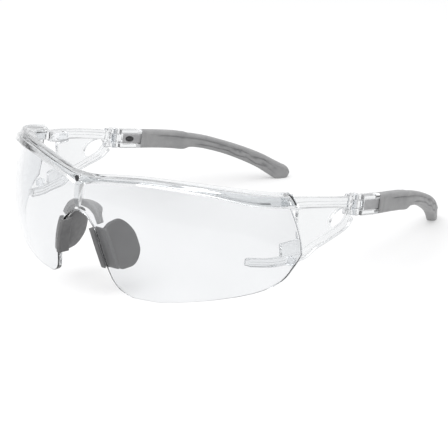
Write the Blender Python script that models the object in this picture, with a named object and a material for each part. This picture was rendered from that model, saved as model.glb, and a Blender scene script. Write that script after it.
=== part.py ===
"""Wrap-around safety glasses: one clear lens under a clear brow bar, clear side shields, and folding temples
with grey rubber sleeves.

Lengths are in millimetres up to the point where a mesh is made, and in metres after that. +X is the wearer's
left, +Y runs back to the ears and +Z is up. The glasses stand open on a table at Z = 0, on the lower edge of
the lens and on the two temple tips, and the origin is on the table under the middle of the glasses.
"""

import math

import bmesh
import bpy
import numpy as np
from mathutils import Matrix, Vector

MM = 0.001
GAP = 0.3  # between pieces that touch
Y_MIDDLE = 80.3  # distance from the drawing's zero, near the bridge, to the middle of the glasses

# Lens: its plan is an arc of one radius over the face and of a smaller one round the temple
FRONT_RADIUS = 103.0
CORNER_RADIUS = 30.0
CORNER_X = 69.0  # where the smaller radius starts
LENS_Y = -5.0
LENS_UPRIGHT_RADIUS = 70.0  # curve of the lens in a vertical cut
LENS_BULGE_Z = 8.2  # height at which that curve is furthest out
LENS_LEAN = 0.241  # how far the top leans forward for each millimetre of height
LENS_WALL = 2.2
LENS_LATERAL_S = 99.0
# (distance along the lens from its middle, height) round the lower edge, from the bridge to the outer corner
LENS_LOWER = [(0, 32.2), (3.4, 31.6), (6.2, 29.6), (9.4, 26.2), (12.0, 19.2), (14.2, 11.4), (15.9, 6.2), (18.8, 2.4),
              (25, 0), (33, 0), (45, 1.6), (61, 4.6), (76, 8.2), (87, 12.6), (93.5, 17.4), (LENS_LATERAL_S, 21.3)]
LENS_OUTER = [(LENS_LATERAL_S, 21.3), (101.2, 27), (102.8, 34), (104, 41.5)]

# Brow bar: (distance along the lens, height) of its top and of its lower edge
BROW_TOP = [(0, 48.5), (6, 48.6), (18, 49.9), (37, 51.1), (52, 50.9), (70, 49.8), (86, 48.3), (105, 45.6)]
BROW_LOW = [(0, 43.1), (4, 44.2), (9, 45.4), (18, 46.5), (38, 47.7), (59, 46.5), (80, 43.2), (105, 39.8)]
BROW_END_S = 105.3
BROW_FRONT = 3.0  # in front of the lens face
BROW_BACK = -4.6
BROW_ROOF = 2.3  # from the top down to the lens groove
BROW_SLOPE_DROP = 1.9  # the top face slopes down to the back
BROW_BACK_LIP = 1.0  # how far the wall behind the lens hangs below the front
STUD_RADIUS = 1.1
STUD_Z = 45.0

# Side of the glasses: (distance back, distance out) of the middle of the side shield and temple
SIDE_LINE = [(10, 57), (23.5, 62.9), (44, 69.3), (62, 71.2), (70, 71.0), (81, 69.9), (94, 68.9), (106, 67.2),
             (118, 64.8), (127, 62.3), (137, 58.6), (147, 54.6), (156, 50.2), (164.5, 45.4), (170, 42)]
PANEL_WALL = 1.8
BAR_WALL = 3.8
PANEL_OUTLINE = [(40.5, 36.6), (40.5, 41.9), (47, 40.9), (56, 39.2), (70, 36.0), (74.9, 34.7), (74.9, 26.9),
                 (72, 23.9), (62.5, 21.2), (54, 19.0), (47.5, 17.1), (38, 16.6), (38, 24.8), (44, 26), (44.4, 36.0)]
TOP_BAR = [(40.2, 40.0, 5.0), (47, 39.3, 4.4), (56, 37.7, 4.2), (68, 35.2, 4.2), (75.2, 33.5, 4.2)]
LOWER_BAR = [(75.2, 27.6, 3.6), (72, 25.0, 3.0), (62.5, 22.6, 2.8), (54, 20.6, 2.8), (46, 17.6, 3.6),
             (35, 17.4, 3.2), (23.4, 19.1, 3.2)]  # distance back, height of the middle, depth
HOLE_CENTRE = (68.0, 28.7)
HOLE_HALF = (6.0, 3.5)
HOLE_TILT = math.radians(12)

# Hinge: a pin through two ears of the side shield and the lug of the temple
ARM_SLOPE = math.radians(10.5)  # the temple slopes down towards the ear, and the pin is square to it
HINGE_Y = 79.0
HINGE_Z = 31.5
HINGE_X = 69.7
KNUCKLE_RADIUS = 2.5
LUG_HALF = 1.7
EAR_OUTER = 4.2
PIN_RADIUS = 1.0
PIN_PLAY = 0.06

# Temple: (distance back, height of the middle, half depth)
ARM_START_Y = 82.1
ARM_END_WALL = 0.9  # in front of the slot
SLEEVE_START_Y = 94.0
ARM_WALL = 4.0
ARM_HALF_DEPTH = 4.2
TONGUE_HALF_DEPTH = 2.1
CORE_END_Y = 116.0
SLEEVE_LINE = [(94, 28.3, 4.15), (105, 26.4, 4.1), (113, 24.8, 4.1), (118, 23.6, 4.05), (121.5, 23.2, 3.2),
               (127, 21.9, 3.0), (137, 18.3, 2.9), (147, 13.8, 3.1), (156, 8.8, 3.4), (160, 5.9, 3.6), (164.5, 2.6, 3.9)]
SLEEVE_HALF_WIDTH = 2.6
SLEEVE_TIP_RADIUS = 3.9

# Nose pieces
PAD_TOP_Z = 27.0
PAD_BOTTOM_Z = 11.6
PAD_EDGE = [(11.4, 14.0), (19.2, 11.8), (26.2, 9.2), (27.2, 8.6)]  # (height, distance along the lens) of the lens edge it grips
WING_WALL = 2.0
WING_OUTLINE = [(-2.6, 26.2), (1.0, 28.3), (5.0, 29.0), (9.0, 26.6), (11.6, 21.6), (12.0, 17.0), (10.0, 12.8),
                (6.5, 10.6), (2.4, 10.3), (0.4, 11.4), (-1.6, 17), (-2.6, 22)]
SADDLE_LINE = [(-10.4, 28.7), (-9.7, 30.1), (-7.4, 33.1), (-3.5, 34.9), (0, 35.2), (3.5, 34.9), (7.4, 33.1),
               (9.7, 30.1), (10.4, 28.7)]
SADDLE_LIP = [(0, 5.6), (6.5, 5.6), (9.4, 3.2), (11, 2.9)]  # (distance across, how far the lip runs back)

CLEAR = ((0.93, 0.95, 0.97), 0.06)
SMOKE_CLEAR = ((0.86, 0.88, 0.90), 0.08)
GREY_RUBBER = ((0.24, 0.24, 0.24), 0.6)
GREY_PLASTIC = ((0.20, 0.20, 0.21), 0.4)
STEEL = ((0.6, 0.6, 0.62), 0.3)


def clear_scene():
    for old in list(bpy.data.objects):
        bpy.data.objects.remove(old, do_unlink=True)


def smooth_line(points, at):
    """The values of a smooth curve through points, at each of the places given: a cubic with slopes that never
    overshoot, as on a draughtsman's spline."""
    data = np.array(points, float)
    x = data[:, 0]
    order = np.sign(x[-1] - x[0])
    x = x * order
    at = np.clip(np.asarray(at, float) * order, x[0], x[-1])
    result = []
    for y in data[:, 1:].T:
        step = np.diff(x)
        slope = np.diff(y) / step
        left, right = slope[:-1], slope[1:]
        same_way = left * right > 0
        inner = np.where(same_way, 2 * left * right / np.where(same_way, left + right, 1), 0)
        tangent = np.concatenate([slope[:1], inner, slope[-1:]])
        i = np.clip(np.searchsorted(x, at, side="right") - 1, 0, len(step) - 1)
        t = (at - x[i]) / step[i]
        result.append(
            y[i] * (1 + 2 * t) * (1 - t) ** 2
            + y[i + 1] * t**2 * (3 - 2 * t)
            + step[i] * t * (1 - t) * (tangent[i] * (1 - t) - tangent[i + 1] * t)
        )
    return np.array(result)


def spread(points, count):
    """The given number of points evenly spaced along a smooth curve through a list of points."""
    data = np.array(points, float)
    knots = np.concatenate([[0], np.cumsum(np.hypot(*np.diff(data, axis=0).T[:2]))])
    return smooth_line(np.column_stack([knots, data]), np.linspace(0, knots[-1], count)).T


def lens_point(s, z, out=0.0):
    """A point s along the lens from its middle at height z, out in front of its outer face."""
    s, z = np.broadcast_arrays(np.asarray(s, float), np.asarray(z, float))
    distance = np.abs(s)
    corner_turn = math.asin(CORNER_X / FRONT_RADIUS)
    corner_s = FRONT_RADIUS * corner_turn
    in_front = distance < corner_s
    turn = np.where(in_front, distance / FRONT_RADIUS, corner_turn + (distance - corner_s) / CORNER_RADIUS)
    corner_y = FRONT_RADIUS * (1 - math.cos(corner_turn))
    across = np.where(
        in_front,
        FRONT_RADIUS * np.sin(turn),
        CORNER_X + CORNER_RADIUS * (np.sin(turn) - math.sin(corner_turn)),
    )
    back = np.where(
        in_front,
        FRONT_RADIUS * (1 - np.cos(turn)),
        corner_y + CORNER_RADIUS * (math.cos(corner_turn) - np.cos(turn)),
    )
    inward = (z - LENS_BULGE_Z) ** 2 / (2 * LENS_UPRIGHT_RADIUS) - out
    x = np.sign(s) * (across - np.sin(turn) * inward)
    y = LENS_Y + back + np.cos(turn) * inward - LENS_LEAN * (z - LENS_BULGE_Z)
    return np.stack([x, y, z + 0 * x], axis=-1)


def side_x(y):
    return smooth_line(SIDE_LINE, y)[0]


def material(name, finish):
    made = bpy.data.materials.new(name)
    made.use_nodes = True
    shader = made.node_tree.nodes["Principled BSDF"]
    colour, roughness = finish
    shader.inputs["Base Color"].default_value = (*colour, 1)
    shader.inputs["Roughness"].default_value = roughness
    shader.inputs["Metallic"].default_value = 1.0 if finish is STEEL else 0.0
    return made


def add_object(name, bm, finish, sharp=40):
    """A named object from a bmesh in millimetres, its faces turned outwards."""
    bmesh.ops.recalc_face_normals(bm, faces=bm.faces)
    bmesh.ops.translate(bm, verts=bm.verts, vec=(0, -Y_MIDDLE, 0))
    bmesh.ops.scale(bm, verts=bm.verts, vec=(MM, MM, MM))
    mesh = bpy.data.meshes.new(name)
    bm.to_mesh(mesh)
    bm.free()
    mesh.shade_smooth()
    mesh.set_sharp_from_angle(angle=math.radians(sharp))
    made = bpy.data.objects.new(name, mesh)
    bpy.context.scene.collection.objects.link(made)
    if finish:
        made.data.materials.append(material(name, finish))
    else:
        made.hide_render = True
        made.display_type = "WIRE"
    return made


def boolean(target, other, operation):
    modifier = target.modifiers.new(f"{operation.lower()}_{other.name}", "BOOLEAN")
    modifier.operation = operation
    modifier.object = other


def mirrored(points, side):
    """Points of the left side, or the same on the right side when side is -1."""
    return np.asarray(points, float) * (side, 1, 1)


def rings_mesh(rings):
    """A closed body through rings of points, with a flat cap at each end."""
    bm = bmesh.new()
    made = [[bm.verts.new(p) for p in ring] for ring in rings]
    count = len(made[0])
    for near, far in zip(made, made[1:]):
        for i in range(count):
            j = (i + 1) % count
            bm.faces.new((near[i], near[j], far[j], far[i]))
    bm.faces.new(made[0])
    bm.faces.new(made[-1])
    return bm


def sheet_mesh(front, back):
    """A closed body between two grids of points of the same size."""
    rows, columns = front.shape[:2]
    bm = bmesh.new()
    faces = [[[bm.verts.new(p) for p in row] for row in grid] for grid in (front, back)]
    for grid in faces:
        for i in range(rows - 1):
            for j in range(columns - 1):
                bm.faces.new((grid[i][j], grid[i + 1][j], grid[i + 1][j + 1], grid[i][j + 1]))
    rim = [(i, 0) for i in range(rows)] + [(rows - 1, j) for j in range(1, columns)]
    rim += [(i, columns - 1) for i in range(rows - 2, -1, -1)] + [(0, j) for j in range(columns - 2, 0, -1)]
    for (i, j), (k, m) in zip(rim, rim[1:] + rim[:1]):
        bm.faces.new((faces[0][i][j], faces[0][k][m], faces[1][k][m], faces[1][i][j]))
    return bm


def rounded_box_ring(half_width, half_height, chamfer):
    """The corners of a box with cut corners, as (across, up)."""
    w, h, c = half_width, half_height, chamfer
    return [(w, h - c), (w - c, h), (c - w, h), (-w, h - c), (-w, c - h), (c - w, -h), (w - c, -h), (w, c - h)]


def bar_mesh(line, wall, side, chamfer=0.5):
    """A bar that follows the side of the glasses: line holds (distance back, height, depth)."""
    stations = spread(line, 14)
    tangent = np.gradient(stations[:, :2], axis=0)
    tangent /= np.linalg.norm(tangent, axis=1)[:, None]
    rings = []
    for (y, z, depth), (ty, tz) in zip(stations, tangent):
        ring = [
            (side_x(y - up * tz) + across, y - up * tz * np.sign(ty), z + up * abs(ty))
            for across, up in rounded_box_ring(wall / 2, depth / 2, chamfer)
        ]
        rings.append(mirrored(ring, side))
    return rings_mesh(rings)


def hinge_frame(side):
    """Where the hinge is: its own Z is the pin's axis and its own Y runs back along the temple."""
    place = Matrix.Translation(Vector((side * HINGE_X, HINGE_Y, HINGE_Z)))
    return place @ Matrix.Rotation(-ARM_SLOPE, 4, "X")


def drum_mesh(radius, low, high, frame, sides=28):
    bm = bmesh.new()
    bmesh.ops.create_cone(bm, cap_ends=True, segments=sides, radius1=radius, radius2=radius, depth=high - low)
    bmesh.ops.translate(bm, verts=bm.verts, vec=(0, 0, (low + high) / 2))
    bmesh.ops.transform(bm, matrix=frame, verts=bm.verts)
    return bm


def box_mesh(low, high, frame=None):
    low, high = np.array(low, float), np.array(high, float)
    bm = bmesh.new()
    bmesh.ops.create_cube(bm, size=1)
    bmesh.ops.scale(bm, verts=bm.verts, vec=high - low)
    bmesh.ops.translate(bm, verts=bm.verts, vec=(low + high) / 2)
    if frame:
        bmesh.ops.transform(bm, matrix=frame, verts=bm.verts)
    return bm


def bevel(made, width):
    modifier = made.modifiers.new("edges", "BEVEL")
    modifier.width = width * MM
    modifier.segments = 2


def lens_top(s):
    return smooth_line(BROW_TOP, np.abs(s))[0] - BROW_ROOF - GAP


def lens():
    lower = spread(LENS_LOWER, 44)
    flat = (lower[:, 0] > LENS_LOWER[8][0] - 1) & (lower[:, 0] < LENS_LOWER[9][0] + 1)
    lower[flat, 1] = 0
    outer = spread(LENS_OUTER, 7)[1:]
    low = np.vstack([lower, outer])
    share = np.linspace(0, 1, len(low)) ** 0.93
    top_s = LENS_OUTER[-1][0] * share
    high = np.column_stack([top_s, lens_top(top_s)])
    low, high = (np.vstack([half[:0:-1] * (-1, 1), half]) for half in (low, high))
    up = np.linspace(0, 1, 8)[None, :, None]
    grid = low[:, None] * (1 - up) + high[:, None] * up
    front = lens_point(grid[..., 0], grid[..., 1])
    back = lens_point(grid[..., 0], grid[..., 1], -LENS_WALL)
    add_object("lens", sheet_mesh(front, back), CLEAR)


def brow_ring(s):
    top, low = smooth_line(BROW_TOP, abs(s))[0], smooth_line(BROW_LOW, abs(s))[0]
    groove = top - BROW_ROOF
    front, back = BROW_FRONT, BROW_BACK
    low_back, top_back = low - BROW_BACK_LIP, top - BROW_SLOPE_DROP
    section = [(front, low), (front, top - 0.9), (front - 1.1, top), (back + 0.8, top_back), (back, top_back - 0.6),
               (back, low_back), (-LENS_WALL - GAP, low_back), (-LENS_WALL - GAP, groove), (GAP, groove), (GAP, low)]
    return [lens_point(s, z, out) for out, z in section]


def brow_bar():
    stations = np.concatenate([-np.linspace(BROW_END_S, 2, 26), np.linspace(-1, 1, 3), np.linspace(2, BROW_END_S, 26)])
    bar = add_object("brow_bar", rings_mesh([brow_ring(s) for s in stations]), CLEAR)
    rib_rings = []
    for z in np.linspace(34.0, 44.6, 6):
        half = 2.3
        rise = 1.0 + 0.13 * (z - 34.0)
        corners = [(-half, GAP), (half, GAP), (half * 0.7, rise), (-half * 0.7, rise)]
        rib_rings.append([lens_point(s, z, out) for s, out in corners])
    boolean(bar, add_object("brow_rib", rings_mesh(rib_rings), None), "UNION")
    boolean(bar, add_object("stud_hole", stud_mesh(STUD_RADIUS + 0.2, 2.0, -GAP), None), "DIFFERENCE")


def stud_mesh(radius, front, back):
    """A round stud square to the brow bar's front face, between two distances from the lens face."""
    centre = lens_point(0, STUD_Z)
    lean = math.atan((STUD_Z - LENS_BULGE_Z) / LENS_UPRIGHT_RADIUS - LENS_LEAN)
    frame = Matrix.Translation(Vector(centre)) @ Matrix.Rotation(math.pi / 2 - lean, 4, "X")
    return drum_mesh(radius, back, front + BROW_FRONT, frame, 20)


def centre_stud():
    add_object("centre_stud", stud_mesh(STUD_RADIUS, -0.1, GAP), SMOKE_CLEAR)


def panel_mesh(side):
    """The side shield's thin wall: a flat outline with its oval hole, cut in strips and bent to the side's curve."""
    bm = bmesh.new()
    outline = PANEL_OUTLINE
    turn = np.linspace(0, 2 * math.pi, 28, endpoint=False)
    across, up = HOLE_HALF[0] * np.cos(turn), HOLE_HALF[1] * np.sin(turn)
    hole = np.column_stack([
        HOLE_CENTRE[0] + across * math.cos(HOLE_TILT) - up * math.sin(HOLE_TILT),
        HOLE_CENTRE[1] + across * math.sin(HOLE_TILT) + up * math.cos(HOLE_TILT),
    ])
    for loop in (outline, hole):
        corners = [bm.verts.new((0, y, z)) for y, z in loop]
        for first, second in zip(corners, corners[1:] + corners[:1]):
            bm.edges.new((first, second))
    bmesh.ops.triangle_fill(bm, use_beauty=True, edges=bm.edges[:], normal=(1, 0, 0))
    for y in np.arange(42, 76, 4):
        everything = bm.verts[:] + bm.edges[:] + bm.faces[:]
        bmesh.ops.bisect_plane(bm, geom=everything, plane_co=(0, y, 0), plane_no=(0, 1, 0))
    grown = bmesh.ops.extrude_face_region(bm, geom=bm.faces[:])
    for vert in (item for item in grown["geom"] if isinstance(item, bmesh.types.BMVert)):
        vert.co.x = 1
    for vert in bm.verts:
        vert.co.x = side * (float(side_x(vert.co.y)) + PANEL_WALL * (vert.co.x - 0.5))
    return bm


def side_shield(side, word):
    frame = hinge_frame(side)
    shield = add_object(f"side_shield_{word}", panel_mesh(side), CLEAR)
    parts = {"top_bar": bar_mesh(TOP_BAR, BAR_WALL, side), "lower_bar": bar_mesh(LOWER_BAR, BAR_WALL - 0.6, side)}
    web_back = -KNUCKLE_RADIUS - 0.5
    inset = 0.1  # keeps the faces of joined shapes out of one plane
    low_corner, high_corner = (-1.8, web_back - 1.6, inset - EAR_OUTER), (1.8, web_back, EAR_OUTER - inset)
    parts["web"] = box_mesh(low_corner, high_corner, frame)
    for place, low, high in (("upper", LUG_HALF + GAP, EAR_OUTER), ("lower", -EAR_OUTER, -LUG_HALF - GAP)):
        parts[f"{place}_ear"] = drum_mesh(KNUCKLE_RADIUS, low, high, frame)
        root = box_mesh((-1.9, web_back - 0.5, low + 2 * inset), (1.9, 0, high - 2 * inset), frame)
        parts[f"{place}_ear_root"] = root
    for name, bm in parts.items():
        boolean(shield, add_object(f"{name}_{word}", bm, None), "UNION")
    hole = drum_mesh(PIN_RADIUS + PIN_PLAY, -EAR_OUTER - 1, EAR_OUTER + 1, frame)
    boolean(shield, add_object(f"ear_hole_{word}", hole, None), "DIFFERENCE")


def hinge_pin(side, word):
    add_object(f"hinge_pin_{word}", drum_mesh(PIN_RADIUS, -EAR_OUTER - 0.2, EAR_OUTER + 0.2, hinge_frame(side)), STEEL)


def corner_clip(side, word):
    low, high = (63.2, 40.6, 37.3), (66.1, 46.5, 41.9)
    bm = box_mesh(low, high)
    bmesh.ops.scale(bm, verts=bm.verts, vec=(side, 1, 1))
    bevel(add_object(f"corner_clip_{word}", bm, SMOKE_CLEAR), 0.6)


def lens_catch(side, word):
    low, high = (71.1, 35.4, 17.2), (74.2, 38.4, 20.4)
    bm = box_mesh(low, high)
    bmesh.ops.scale(bm, verts=bm.verts, vec=(side, 1, 1))
    bevel(add_object(f"lens_catch_{word}", bm, SMOKE_CLEAR), 0.5)


def temple_rings(stations, half_width, side, corner=0.5, inner=False):
    """Rings round the temple's centre line. Each station is (distance back, height, half depth, share of width)."""
    data = np.array(stations, float)
    centre = np.column_stack([side_x(data[:, 0]), data[:, 0], data[:, 1]])
    along = np.gradient(centre, axis=0)
    along /= np.linalg.norm(along, axis=1)[:, None]
    up = np.array([0, 0, 1]) - along * along[:, 2:]
    up /= np.linalg.norm(up, axis=1)[:, None]
    out = np.cross(along, up)
    turn = np.linspace(0, 2 * math.pi, 16, endpoint=False) + math.pi / 16
    across = np.sign(np.cos(turn)) * np.abs(np.cos(turn)) ** corner
    height = np.sign(np.sin(turn)) * np.abs(np.sin(turn)) ** corner
    rings = (
        centre[:, None]
        + out[:, None] * (half_width * data[:, 3])[:, None, None] * across[None, :, None]
        + up[:, None] * data[:, 2][:, None, None] * height[None, :, None]
    )
    rings[..., 2] = np.maximum(rings[..., 2], 0)
    return mirrored(rings, side)


def arm_height(y):
    return SLEEVE_LINE[0][1] - (y - SLEEVE_START_Y) * math.tan(ARM_SLOPE)


def temple_arm(side, word):
    frame = hinge_frame(side)
    ends = (ARM_START_Y, SLEEVE_START_Y - GAP)
    rings = []
    for y in np.linspace(*ends, 5):
        section = rounded_box_ring(ARM_WALL / 2, ARM_HALF_DEPTH, 0.7)
        ring = [(side_x(y) + across, y + up * math.sin(ARM_SLOPE), arm_height(y) + up) for across, up in section]
        rings.append(mirrored(ring, side))
    arm = add_object(f"temple_arm_{word}", rings_mesh(rings), CLEAR)
    boolean(arm, add_object(f"lug_{word}", drum_mesh(KNUCKLE_RADIUS, -LUG_HALF, LUG_HALF, frame), None), "UNION")
    root = box_mesh((-1.6, 0, 0.1 - LUG_HALF), (1.6, ARM_START_Y - HINGE_Y + 1.2, LUG_HALF - 0.1), frame)
    boolean(arm, add_object(f"lug_root_{word}", root, None), "UNION")
    hole = drum_mesh(PIN_RADIUS + PIN_PLAY, -EAR_OUTER, EAR_OUTER, frame)
    boolean(arm, add_object(f"lug_hole_{word}", hole, None), "DIFFERENCE")
    slot = core_mesh(side, ARM_START_Y + ARM_END_WALL, SLEEVE_START_Y + 2, TONGUE_HALF_DEPTH + GAP, ARM_WALL)
    boolean(arm, add_object(f"fork_slot_{word}", slot, None), "DIFFERENCE")


def core_mesh(side, start, end, half_depth, half_width):
    stations = []
    for y in np.linspace(start, end, 10):
        height = arm_height(y) if y < SLEEVE_START_Y else smooth_line(SLEEVE_LINE, y)[0]
        stations.append((y, height, half_depth, 1))
    return rings_mesh(temple_rings(stations, half_width, side, 0.3))


def peg_mesh(side, grow, depth_low, depth_high):
    """An oval peg across the tongue, from its inner face, between two distances from the temple's middle."""
    y = (ARM_START_Y + SLEEVE_START_Y) / 2 - 0.6
    turn = np.linspace(0, 2 * math.pi, 20, endpoint=False)
    back, up = (2.3 + grow) * np.cos(turn), (1.15 + grow) * np.sin(turn)
    rings = []
    for depth in (depth_low, depth_high):
        x = np.full_like(turn, side_x(y) - depth)
        rings.append(mirrored(np.column_stack([x, y + back, arm_height(y) + up - back * math.tan(ARM_SLOPE)]), side))
    return rings_mesh(rings)


def temple_core(side, word):
    core = add_object(
        f"temple_core_{word}",
        core_mesh(side, ARM_START_Y + ARM_END_WALL + GAP, CORE_END_Y, TONGUE_HALF_DEPTH, 1.5),
        GREY_PLASTIC,
    )
    boolean(core, add_object(f"peg_hole_{word}", peg_mesh(side, 0.2, 0.2, 3), None), "DIFFERENCE")


def lock_peg(side, word):
    add_object(f"lock_peg_{word}", peg_mesh(side, 0, 0.4, 1.7), SMOKE_CLEAR)


def temple_sleeve(side, word):
    tip_y = SLEEVE_LINE[-1][0]
    body = [(y, *smooth_line(SLEEVE_LINE, y), 1) for y in np.linspace(SLEEVE_START_Y, tip_y, 30)]
    tip_slope = 0.15
    for turn in np.radians([20, 40, 58, 74, 86]):
        reach = SLEEVE_TIP_RADIUS * math.sin(turn)
        share = math.cos(turn)
        z = SLEEVE_LINE[-1][1] - reach * tip_slope
        body.append((tip_y + reach, z, SLEEVE_TIP_RADIUS * share, max(share, 0.35)))
    outer = temple_rings(body, SLEEVE_HALF_WIDTH, side)
    pocket = []
    for y in np.linspace(SLEEVE_START_Y, CORE_END_Y + 1, 8):
        pocket.append((y, *smooth_line(SLEEVE_LINE, y)[:1], TONGUE_HALF_DEPTH + GAP, 1))
    inner = temple_rings(pocket, 1.5 + GAP, side, 0.3)
    add_object(f"temple_sleeve_{word}", rings_mesh(np.concatenate([outer[::-1], inner])), GREY_RUBBER)


def nose_pad(side, word):
    """A rubber channel that grips the lens edge, with a rounded wing behind it that lies on the nose."""
    rings = []
    for z in np.linspace(PAD_BOTTOM_Z, PAD_TOP_Z, 9):
        edge = smooth_line(PAD_EDGE, z)[0]
        inside = -LENS_WALL - GAP
        section = [(-1.6, 1.6), (2.2, 1.6), (2.2, GAP), (-0.4, GAP), (-0.4, inside), (3.6, inside),
                   (3.6, inside - 1.6), (-1.6, inside - 1.6)]
        rings.append(mirrored(lens_point([edge + s for s, _ in section], z, [out for _, out in section]), side))
    pad = add_object(f"nose_pad_{word}", rings_mesh(rings), GREY_RUBBER)
    wing = bmesh.new()
    corners = [wing.verts.new((0, y, z)) for y, z in spread(WING_OUTLINE + WING_OUTLINE[:1], 34)[:-1]]
    wing.faces.new(corners)
    grown = bmesh.ops.extrude_face_region(wing, geom=wing.faces[:])
    for vert in (item for item in grown["geom"] if isinstance(item, bmesh.types.BMVert)):
        vert.co.x = 1
    for vert in wing.verts:
        _, y, z = vert.co
        middle = 12.4 + 0.17 * (y + 5) + 0.34 * (19 - z)
        vert.co.x = side * (middle + WING_WALL * (vert.co.x - 0.5))
    boolean(pad, add_object(f"wing_{word}", wing, None), "UNION")


def nose_saddle():
    """A rubber band behind the bridge of the lens: a flat flange on the lens and a lip that runs back."""
    line = spread(SADDLE_LINE, 21)
    along = np.gradient(line, axis=0)
    along /= np.linalg.norm(along, axis=1)[:, None]
    rings = []
    for (x, z), (tx, tz) in zip(line, along):
        ring = []
        reach = smooth_line(SADDLE_LIP, abs(x))[0]
        for lift, depth in ((1.3, 0), (1.3, 1.5), (-0.9, 2.6), (-0.9, reach), (-2.4, reach), (-2.4, 0)):
            px, pz = x - lift * tz, z + lift * tx
            point = lens_point(px, pz, -LENS_WALL - GAP)
            ring.append(point + (0, depth, 0))
        rings.append(ring)
    add_object("nose_saddle", rings_mesh(rings), GREY_RUBBER)


clear_scene()
lens()
brow_bar()
centre_stud()
nose_saddle()
for side, word in ((1, "left"), (-1, "right")):
    side_shield(side, word)
    hinge_pin(side, word)
    corner_clip(side, word)
    lens_catch(side, word)
    nose_pad(side, word)
    temple_arm(side, word)
    temple_core(side, word)
    lock_peg(side, word)
    temple_sleeve(side, word)
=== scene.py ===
"""Clear wrap-around safety glasses with grey rubber nose pieces and temple sleeves, finished for show.

Shapes are worked out in millimetres in the drawing's own frame: +X to the wearer's left, +Y back to the
ears, +Z up, with y zero near the bridge and z zero on the table. place() turns them into metres in the
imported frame.
"""

import math

import bmesh
import bpy
import numpy as np
from mathutils import Matrix, Vector


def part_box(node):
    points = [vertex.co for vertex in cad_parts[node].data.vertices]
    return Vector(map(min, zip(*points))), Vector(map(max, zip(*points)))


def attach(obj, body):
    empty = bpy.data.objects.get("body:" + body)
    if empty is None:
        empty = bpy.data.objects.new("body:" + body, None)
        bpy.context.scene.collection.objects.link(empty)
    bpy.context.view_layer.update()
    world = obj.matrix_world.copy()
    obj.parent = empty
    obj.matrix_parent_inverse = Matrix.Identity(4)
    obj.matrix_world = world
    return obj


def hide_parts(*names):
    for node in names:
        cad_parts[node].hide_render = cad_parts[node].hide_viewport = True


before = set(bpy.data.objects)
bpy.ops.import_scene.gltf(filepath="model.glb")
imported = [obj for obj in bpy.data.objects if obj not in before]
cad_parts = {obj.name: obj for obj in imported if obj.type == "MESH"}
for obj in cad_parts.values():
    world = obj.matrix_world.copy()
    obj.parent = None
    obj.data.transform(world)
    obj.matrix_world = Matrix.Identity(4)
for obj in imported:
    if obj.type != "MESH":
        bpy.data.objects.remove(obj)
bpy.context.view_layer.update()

MM = 0.001
GAP = 0.3  # between pieces that touch
CORNER_CLIP = ((63.2, 40.6, 37.3), (66.1, 46.5, 41.9))  # two opposite corners of the left one
LENS_CATCH = ((71.1, 35.4, 17.2), (74.2, 38.4, 20.4))
CLIP_EDGE = 0.6
CATCH_EDGE = 0.5
DRAWING_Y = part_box("lens_catch_left")[0].y / MM - LENS_CATCH[0][1]  # from the drawing's zero to the frame's

# Lens: its plan is an arc of one radius over the face and of a smaller one round the temple
FRONT_RADIUS = 103.0
CORNER_RADIUS = 30.0
CORNER_X = 69.0
LENS_Y = -5.0
LENS_UPRIGHT_RADIUS = 70.0
LENS_BULGE_Z = 8.2
LENS_LEAN = 0.241  # how far the face comes forward for each unit of height, at its bulge
LENS_WALL = 2.2
LENS_EDGE = 0.7  # how much of the sheet its rounded edges take
LENS_EDGE_POWER = 0.6
# (distance along the lens from its middle, height) of the lower edge, then of the outer edge
LENS_LOWER = [(0, 32.2), (3.4, 31.6), (6.2, 29.6), (9.4, 26.2), (12.0, 19.2), (14.2, 11.4), (15.9, 6.2),
              (18.8, 2.4), (25, 0), (33, 0), (45, 1.6), (61, 4.6), (76, 8.2), (87, 12.6), (93.5, 17.4),
              (99, 21.3)]
LENS_OUTER = [(99, 21.3), (101.2, 27), (102.8, 34), (104, 41.5)]
LENS_END_S = 104.0
LENS_REST = (24.0, 34.0)  # the stretch of the lower edge that stands on the table

# Brow bar: (distance along the lens, height) of its top and of its lower edge
BROW_TOP = [(0, 48.5), (6, 48.6), (18, 49.9), (37, 51.1), (52, 50.9), (70, 49.8), (86, 48.3), (105, 45.6)]
BROW_LOW = [(0, 43.1), (4, 44.2), (9, 45.4), (18, 46.5), (38, 47.7), (59, 46.5), (80, 43.2), (105, 39.8)]
BROW_END_S = 105.3
BROW_FRONT = 3.0
BROW_BACK = -4.6
BROW_ROOF = 2.3
BROW_SLOPE_DROP = 1.9  # the top face slopes down to the back
BROW_BACK_LIP = 1.0  # how far the wall behind the lens hangs below the front
BROW_STEP = 0.75  # how far the front face's upper half stands back
BROW_STEP_SHARE = 0.52  # the step's place, as a share of the bar's height
RIB_LOW, RIB_HIGH = 34.0, 44.6
RIB_HALF = 2.3
SEAT_RADIUS = 1.9
SEAT_DEPTH = 0.15
STUD_RADIUS = 1.1
STUD_Z = 45.0

# Side of the glasses: (distance back, distance out) of the middle of the side shield and temple
SIDE_LINE = [(10, 57), (23.5, 62.9), (44, 69.3), (62, 71.2), (70, 71.0), (81, 69.9), (94, 68.9), (106, 67.2),
             (118, 64.8), (127, 62.3), (137, 58.6), (147, 54.6), (156, 50.2), (164.5, 45.4), (170, 42)]
PANEL_WALL = 1.8
HOLE_LIP = 0.5  # width of the raised lip round the vent hole
HOLE_LIP_RISE = 0.12
TOP_BAR_WALL = 3.8
LOWER_BAR_WALL = 3.2
TAB_WALL = 1.7
PANEL_OUTLINE = [(44.4, 29), (44.4, 40.7), (47, 40.4), (56, 38.7), (68, 36.0), (74.6, 34.5), (74.8, 27.4),
                 (72, 24.5), (62.5, 21.8), (54, 19.6), (47.5, 17.9), (44.4, 17.6)]
HOLE_CENTRE = np.array([68.0, 28.7])
HOLE_HALF = (6.0, 3.5)
HOLE_TILT = math.radians(12)
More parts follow.
